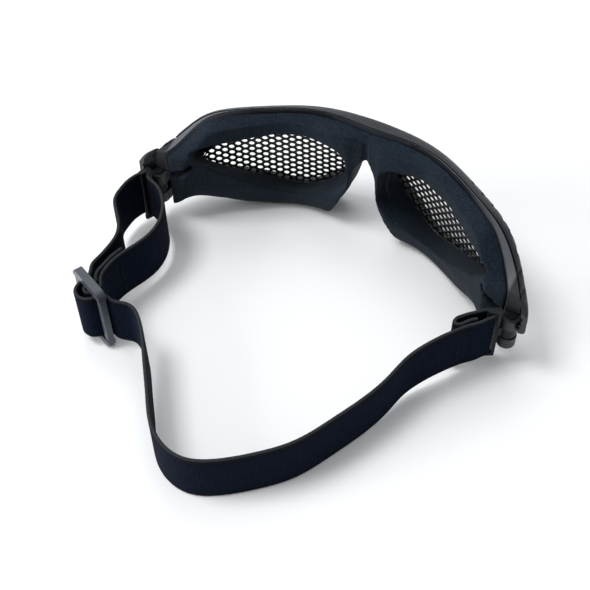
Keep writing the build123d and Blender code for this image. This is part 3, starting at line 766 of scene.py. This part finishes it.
# Room at the nose end of each eye opening: how far its edge moves, and between which places
NOSE_ROOM = 2.3
NOSE_ACROSS = (5.0, 9.5)
NOSE_FADE = (20.0, 14.0)
NOSE_INTO = (-9.0, -5.5)
NOSE_FOOT = (14.0, 22.0)
NOSE_TOP = (47.5, 43.0)


def eased(values, low, high):
    """Share from 0 to 1 of the way between two values."""
    return np.clip((values - low) / (high - low), 0, 1)


def shape_pad(points):
    """Pad with its sloping top, the crease at the nose, fuller temple ends and the slots in them."""
    side = np.sign(points[:, 0])
    x, y, z = np.abs(points[:, 0]), points[:, 1].copy(), points[:, 2].copy()
    seat, crest, top = (np.interp(x, PAD_LINE[:, 0], PAD_LINE[:, k]) for k in (1, 2, 3))
    depth = eased(y, seat, crest)
    notch = CREASE_DEPTH * (1 - eased(x, 0, CREASE_HALF))
    limit = top - PAD_SLOPE[0] - PAD_SLOPE[1] * depth - HALF * notch * depth
    z += np.minimum(limit - z, 0) * (1 - eased(x, *PAD_SLOPE_END))
    y -= notch * eased(depth, HALF, 1) * eased(z, *CREASE_HEIGHTS)
    fuller = END_DROP * np.maximum(x - END_START, 0)
    z -= fuller * depth * (1 - eased(z, *END_HEIGHTS))
    room = eased(x, *NOSE_ACROSS) * eased(x, *NOSE_FADE) * eased(y, *NOSE_INTO)
    x -= NOSE_ROOM * room * eased(z, *NOSE_FOOT) * eased(z, *NOSE_TOP)
    start, end = np.array(SLOT_ENDS)
    along = end - start
    offset = np.stack([x, y, z], 1) - start
    part = np.clip(offset @ along / (along @ along), 0, 1)
    off_line = offset - part[:, None] * along
    inwards = off_line @ SLOT_INTO
    gap = np.linalg.norm(off_line - inwards[:, None] * SLOT_INTO, axis=1)
    push = SLOT_DEPTH * (1 - eased(gap, 0, SLOT_HALF) ** SLOT_POWER) * eased(inwards, SLOT_DEPTH, 0)
    x += push * SLOT_INTO[0]
    y += push * SLOT_INTO[1]
    return np.stack([x * side, y, z], 1)


def read_points(mesh):
    """Vertices of a mesh in millimetres in the frame of the symmetry plane."""
    flat = np.zeros(len(mesh.vertices) * 3, np.float32)
    mesh.vertices.foreach_get("co", flat)
    return flat.reshape(-1, 3).astype(float) / MM - (0, SHIFT_Y, 0)


def write_points(mesh, points):
    """Puts the vertices of a mesh at points in millimetres."""
    mesh.vertices.foreach_set("co", placed(points).astype(np.float32).ravel())
    mesh.update()


def remesh(piece, size):
    """Even mesh over the same form, softened by a few rounds of smoothing."""
    voxels = piece.modifiers.new("voxels", "REMESH")
    voxels.mode = "VOXEL"
    voxels.voxel_size = size
    voxels.use_smooth_shade = True
    soften = piece.modifiers.new("soften", "SMOOTH")
    soften.factor = HALF
    soften.iterations = PAD_ROUNDS
    graph = bpy.context.evaluated_depsgraph_get()
    mesh = bpy.data.meshes.new_from_object(piece.evaluated_get(graph))
    piece.modifiers.clear()
    piece.data = mesh


def make_pad(material):
    """Soft pad in the CAD solid's space, sculpted after the photograph."""
    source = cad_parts["face_pad"]
    piece = bpy.data.objects.new("pad_foam", source.data.copy())
    SCENE.collection.objects.link(piece)
    piece.data.materials.clear()
    piece.data.materials.append(material)
    remesh(piece, PAD_VOXELS[0])
    write_points(piece.data, shape_pad(read_points(piece.data)))
    remesh(piece, PAD_VOXELS[1])
    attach(piece, "goggles")
    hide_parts("face_pad")


# Strap clips and slider that the strap goes round, in millimetres and degrees, as in the part's source
PIN = {1: (76.4, 29.5), -1: (-76.4, 29.5)}
CLIP_HEADING = {1: 70.0, -1: 34.0}
CLIP_START = 3.75
CLIP_POST = 1.3
CLIP_SLOT = 2.1
CLIP_BAR = 1.7
CLIP_LIFT = 4.4
SLIDER_LIFT = 4.0
SLIDER_CENTRE = (60.5, 94.5)
SLIDER_TURN = -21.8
MIDDLE_BAR = 2.4
GAP = 0.3
BAR_DISTANCE = CLIP_START + CLIP_POST + CLIP_SLOT + HALF * CLIP_BAR

# Webbing, a little thinner than its solids, and the route of its middle line as the photograph shows it
STRAP_WIDTH = 22.0
STRAP_THICKNESS = 1.5
STRAP_EASE = 0.1
WRAP_RADIUS = HALF * CLIP_BAR + GAP + HALF * STRAP_THICKNESS
SEWN_RADIUS = HALF * MIDDLE_BAR + GAP + HALF * STRAP_THICKNESS
RIGHT_TURN = (270.0, 90.0)
LEFT_TURN = (-90.0, -185.0)
SEWN_TURN = (195.0, -15.0)
ARC_POINTS = 5
RIGHT_TAIL = [
    (-66.9, 38.1),
    (-65.3, 39.6),
    (-63.8, 41.9),
    (-62.4, 43.6),
    (-60.8, 43.9),
    (-60.3, 42.3),
    (-61.5, 39.9),
    (-63.5, 37.4),
    (-65.9, 34.9),
]
RIGHT_OUT = [(-68.9, 38.6), (-66.0, 42.0)]
RUN_ROUTE = [
    (-62.4, 46.9, 4.4),
    (-55.5, 57.8, 3.2),
    (-52.5, 64.0, 1.8),
    (-50.5, 73.0, 0.6),
    (-46.8, 86.0, 0.12),
    (-42.0, 98.0, 0.0),
    (-35.0, 112.5, 0.0),
    (-26.0, 122.8, 0.0),
    (-15.5, 131.6, 0.0),
    (-8.5, 134.9, 0.0),
    (-1.6, 135.0, 0.0),
    (6.0, 131.9, 0.0),
    (17.5, 120.0, 0.1),
    (27.7, 107.6, 0.7),
    (37.6, 96.6, 2.2),
    (44.0, 93.6, 3.6),
]
BULGE_ROUTE = [
    (-9.4, -3.0),
    (-7.5, -2.75),
    (-5.7, -2.1),
    (-4.8, 0.0),
    (-4.4, 2.3),
    (-2.9, 4.5),
    (0.0, 5.5),
    (2.9, 4.5),
    (4.4, 2.3),
    (4.85, 0.0),
    (5.6, -2.3),
    (7.3, -4.4),
    (9.5, -6.2),
]
OUTER_ROUTE = [
    (82.1, 46.5, 4.4),
    (81.2, 51.5, 4.3),
    (77.6, 56.4, 4.2),
    (72.3, 61.6, 4.1),
    (68.9, 67.0, 4.0),
    (67.4, 75.1, 4.0),
    (67.3, 80.5, 4.0),
]
LEFT_START = [(82.3, 41.6), (81.9, 39.4)]
LEFT_END = [(75.9, 36.4), (71.1, 38.2)]
INNER_ROUTE = [
    (66.3, 41.6, 4.4),
    (61.9, 46.8, 4.3),
    (58.8, 53.6, 4.2),
    (57.9, 61.6, 4.1),
    (59.4, 69.0, 4.0),
]
INNER_SIDE_ROUTE = [(7.3, -15.5), (5.2, -9.8), (1.6, -5.2), (-1.3, -3.4)]
TAIL_ROUTE = [(1.6, -2.6), (4.2, -4.9), (6.8, -9.0), (9.2, -15.5), (10.0, -19.4)]

# Steps along the middle line and round the section of the webbing
LINE_POINTS = 12001
AHEAD_STEP = 0.15
FINE_STEP = 0.5
LONG_STEP = 1.0
FACE_STEPS = 22
RIM_ARC_STEPS = 4

# Cuts between the stretches of the strap, and where its bends start and end, from points of the route
RIGHT_REACH = 40.0
RIGHT_BEND = (-2.0, 34.0)
SLIDER_REACH = 45.0
SLIDER_BEND = (-38.0, -2.0)
SLIDER_CUT_POINT = 9
LEFT_CUT_POINT = 2
OUTER_EASE = 1.0
INNER_CUT = 4.0
INNER_EASE = 2.0
SIDE_EASE = 4.0

# Seams: how far their two rows lie from the strap's end, and shifts where they show on other layers
SEAM_STEPS = (2.5, 5.0)
HEM_POINT = 3
HEM_SHIFT = 3.0
OUT_SHIFT = -1.0
SIDE_SHIFT = -4.0


def level(points, lift):
    """Points in plan at one height."""
    return [(x, y, lift) for x, y in points]


def arc(centre, radius, start, end, lift):
    """Points round a bar, from one heading to another."""
    made = []
    for i in range(ARC_POINTS):
        angle = math.radians(start + (end - start) * i / (ARC_POINTS - 1))
        made.append((centre[0] + radius * math.cos(angle), centre[1] + radius * math.sin(angle), lift))
    return made


def clip_arc(side, turn):
    """Points of the strap round a clip's bar, between two turns from the clip's heading."""
    heading = math.radians(CLIP_HEADING[side])
    x, y = PIN[side]
    centre = (x + BAR_DISTANCE * math.cos(heading), y + BAR_DISTANCE * math.sin(heading))
    start, end = (CLIP_HEADING[side] + angle for angle in turn)
    return arc(centre, WRAP_RADIUS, start, end, CLIP_LIFT)


def at_slider(points):
    """Points of the slider's own plan."""
    turn = math.radians(SLIDER_TURN)
    made = []
    for x, y in points:
        made.append((
            SLIDER_CENTRE[0] + x * math.cos(turn) - y * math.sin(turn),
            SLIDER_CENTRE[1] + x * math.sin(turn) + y * math.cos(turn),
            SLIDER_LIFT,
        ))
    return made


def strap_marks():
    """Route of the whole strap, from its sewn end at the right clip to its sewn end at the slider."""
    sewn_arc = [(x, y) for x, y, _ in arc((0, 0), SEWN_RADIUS, *SEWN_TURN, 0)]
    parts = [
        ("tail", level(RIGHT_TAIL, CLIP_LIFT)),
        ("right_arc", clip_arc(-1, RIGHT_TURN)),
        ("right_out", level(RIGHT_OUT, CLIP_LIFT)),
        ("run", RUN_ROUTE),
        ("bulge", at_slider(BULGE_ROUTE)),
        ("outer", OUTER_ROUTE[::-1]),
        ("left_start", level(LEFT_START, CLIP_LIFT)),
        ("left_arc", clip_arc(1, LEFT_TURN)),
        ("left_end", level(LEFT_END, CLIP_LIFT)),
        ("inner", INNER_ROUTE),
        ("inner_side", at_slider(INNER_SIDE_ROUTE)),
        ("sewn_arc", at_slider(sewn_arc)),
        ("sewn_tail", at_slider(TAIL_ROUTE)),
    ]
    points, marks = [], {}
    for name, spots in parts:
        marks[name] = len(points)
        points += [tuple(p) for p in spots]
    marks["end"] = len(points) - 1
    return points, marks


class Strap:
    """The strap's middle line, measured along its length in millimetres."""

    def __init__(self):
        points, self.marks = strap_marks()
        at, shares = smooth_line(points)
        dense = np.linspace(0, 1, LINE_POINTS)
        self.spots = at(dense)
        steps = np.linalg.norm(np.diff(self.spots, axis=0), axis=1)
        self.reach = np.concatenate([[0], np.cumsum(steps)])
        self.stops = np.interp(shares, dense, self.reach)

    def stop(self, name, step=0):
        """Distance along the strap of a route point."""
        return float(self.stops[self.marks[name] + step])

    def at(self, distances):
        """Points of the middle line's lower edge at these distances."""
        return np.stack([np.interp(distances, self.reach, self.spots[:, k]) for k in range(3)], 1)


def section(width, thick):
    """Closed outline of the webbing's section: across the face, then across the thickness."""
    half = thick / 2
    flat = width - 2 * half
    outline = []
    for k in range(FACE_STEPS + 1):
        outline.append((half, half + flat * k / FACE_STEPS))
    for k in range(1, RIM_ARC_STEPS):
        angle = math.pi * k / RIM_ARC_STEPS
        outline.append((half * math.cos(angle), width - half + half * math.sin(angle)))
    for k in range(FACE_STEPS + 1):
        outline.append((-half, width - half - flat * k / FACE_STEPS))
    for k in range(1, RIM_ARC_STEPS):
        angle = math.pi * k / RIM_ARC_STEPS
        outline.append((-half * math.cos(angle), half - half * math.sin(angle)))
    return np.array(outline)


def webbing(strap, name, start, end, material, cap=(False, False), step=FINE_STEP):
    """Stretch of the strap between two distances along it."""
    count = max(2, math.ceil((end - start) / step))
    reach = np.linspace(start, end, count + 1)
    ahead = strap.at(reach + AHEAD_STEP) - strap.at(reach - AHEAD_STEP)
    ahead[:, 2] = 0
    ahead = unit_rows(ahead)
    across = np.stack([-ahead[:, 1], ahead[:, 0], np.zeros(len(ahead))], 1)
    shape = section(STRAP_WIDTH, STRAP_THICKNESS - STRAP_EASE)
    rows = strap.at(reach)[:, None] + across[:, None] * shape[None, :, :1]
    rows[:, :, 2] += shape[None, :, 1]
    ring = len(shape)
    faces = []
    for i in range(count):
        for k in range(ring):
            n = (k + 1) % ring
            faces.append((i * ring + k, i * ring + n, (i + 1) * ring + n, (i + 1) * ring + k))
    if cap[0]:
        faces.append(tuple(range(ring))[::-1])
    if cap[1]:
        faces.append(tuple(count * ring + k for k in range(ring)))
    mesh = bpy.data.meshes.new(name)
    mesh.from_pydata([tuple(p) for p in placed(rows.reshape(-1, 3))], [], faces)
    layer = mesh.uv_layers.new(name="strap")
    for polygon in mesh.polygons:
        # The end caps have more corners than the rest and stay flat
        polygon.use_smooth = len(polygon.vertices) == 4
        for loop in polygon.loop_indices:
            vertex = mesh.loops[loop].vertex_index
            layer.data[loop].uv = (reach[vertex // ring] * MM, shape[vertex % ring][1] * MM)
    mesh.materials.append(material)
    piece = bpy.data.objects.new(name, mesh)
    SCENE.collection.objects.link(piece)
    return piece


def bend(piece, strap, start, end):
    """Bakes a piece's placement into its mesh; the strap points at the two distances are found but not
    used.
    """
    a, b = placed(strap.at([start, end]))
    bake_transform(piece)


def seam_places(strap):
    """Distances in metres along the strap of the seams at its two sewn ends."""
    tail = strap.stop("tail")
    hem = strap.stop("tail", HEM_POINT)
    folded = [tail + step for step in SEAM_STEPS]
    folded += [2 * hem - tail - step + HEM_SHIFT for step in SEAM_STEPS]
    folded += [strap.stop("right_out", 1) + step + OUT_SHIFT for step in SEAM_STEPS]
    sewn = [strap.stop("end") - step for step in SEAM_STEPS]
    sewn += [strap.stop("inner_side") + step + SIDE_SHIFT for step in SEAM_STEPS]
    return [MM * place for place in folded + sewn]


def make_strap(strap, material):
    """All stretches of the strap."""
    run, bulge, outer = strap.stop("run"), strap.stop("bulge"), strap.stop("outer")
    inner, inner_side, end = strap.stop("inner"), strap.stop("inner_side"), strap.stop("end")
    slider_cut = strap.stop("bulge", SLIDER_CUT_POINT)
    left_start = strap.stop("left_start")
    left_cut = strap.stop("left_arc", LEFT_CUT_POINT)
    outer_cut = HALF * (outer + left_start)
    inner_cut = HALF * (inner + inner_side) + INNER_CUT
    right = webbing(strap, "strap_right_end", 0.0, run + RIGHT_REACH, material, cap=(True, False))
    bend(right, strap, run + RIGHT_BEND[0], run + RIGHT_BEND[1])
    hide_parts("strap_end_right")
    long_run = webbing(
        strap, "strap_long_run", run + RIGHT_REACH, bulge - SLIDER_REACH, material, step=LONG_STEP
    )
    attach(long_run, "goggles")
    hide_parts("strap_run")
    near = webbing(strap, "strap_into_slider", bulge - SLIDER_REACH, slider_cut, material)
    bend(near, strap, bulge + SLIDER_BEND[0], bulge + SLIDER_BEND[1])
    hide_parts("strap_slider_wrap")
    far = webbing(strap, "strap_outer_rear", slider_cut, outer_cut, material)
    bend(far, strap, outer + OUTER_EASE, outer_cut - OUTER_EASE)
    front = webbing(strap, "strap_outer_front", outer_cut, left_cut, material)
    bend(front, strap, outer_cut + OUTER_EASE, left_start - OUTER_EASE)
    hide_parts("strap_outer")
    fold = webbing(strap, "strap_left_fold", left_cut, inner_cut, material)
    bend(fold, strap, inner, inner_cut - INNER_EASE)
    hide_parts("strap_loop_left", "strap_inner")
    sewn = webbing(strap, "strap_inner_rear", inner_cut, end, material, cap=(False, True))
    bend(sewn, strap, inner_cut + INNER_EASE, inner_side + SIDE_EASE)
    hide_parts("strap_sewn_end")


# Assembly: the CAD pieces that stay, with their surfaces
DRESSED = {
    "outer_shell": "shell_plastic",
    "inner_frame": "frame_plastic",
    "hinge_pin_left": "pin_metal",
    "hinge_pin_right": "pin_metal",
    "strap_clip_left": "clip_plastic",
    "strap_clip_right": "clip_plastic",
    "slider_buckle": "buckle_plastic",
}

make_stage()
surfaces = {name: plain_surface(name) for name in SURFACES}
surfaces["frame_plastic"] = frame_material()
pad_skin = pad_material()
strap = Strap()
strap_weave = strap_material(seam_places(strap))

for node, surface in DRESSED.items():
    dress(node, surfaces[surface])
for node, width in EDGE_WIDTHS.items():
    round_edges(node, width)
for side in (1, -1):
    make_lens(side, surfaces["mesh_paint"])
for side in (1, -1):
    make_rim(side, surfaces["rim_plastic"])
make_pad(pad_skin)
make_strap(strap, strap_weave)
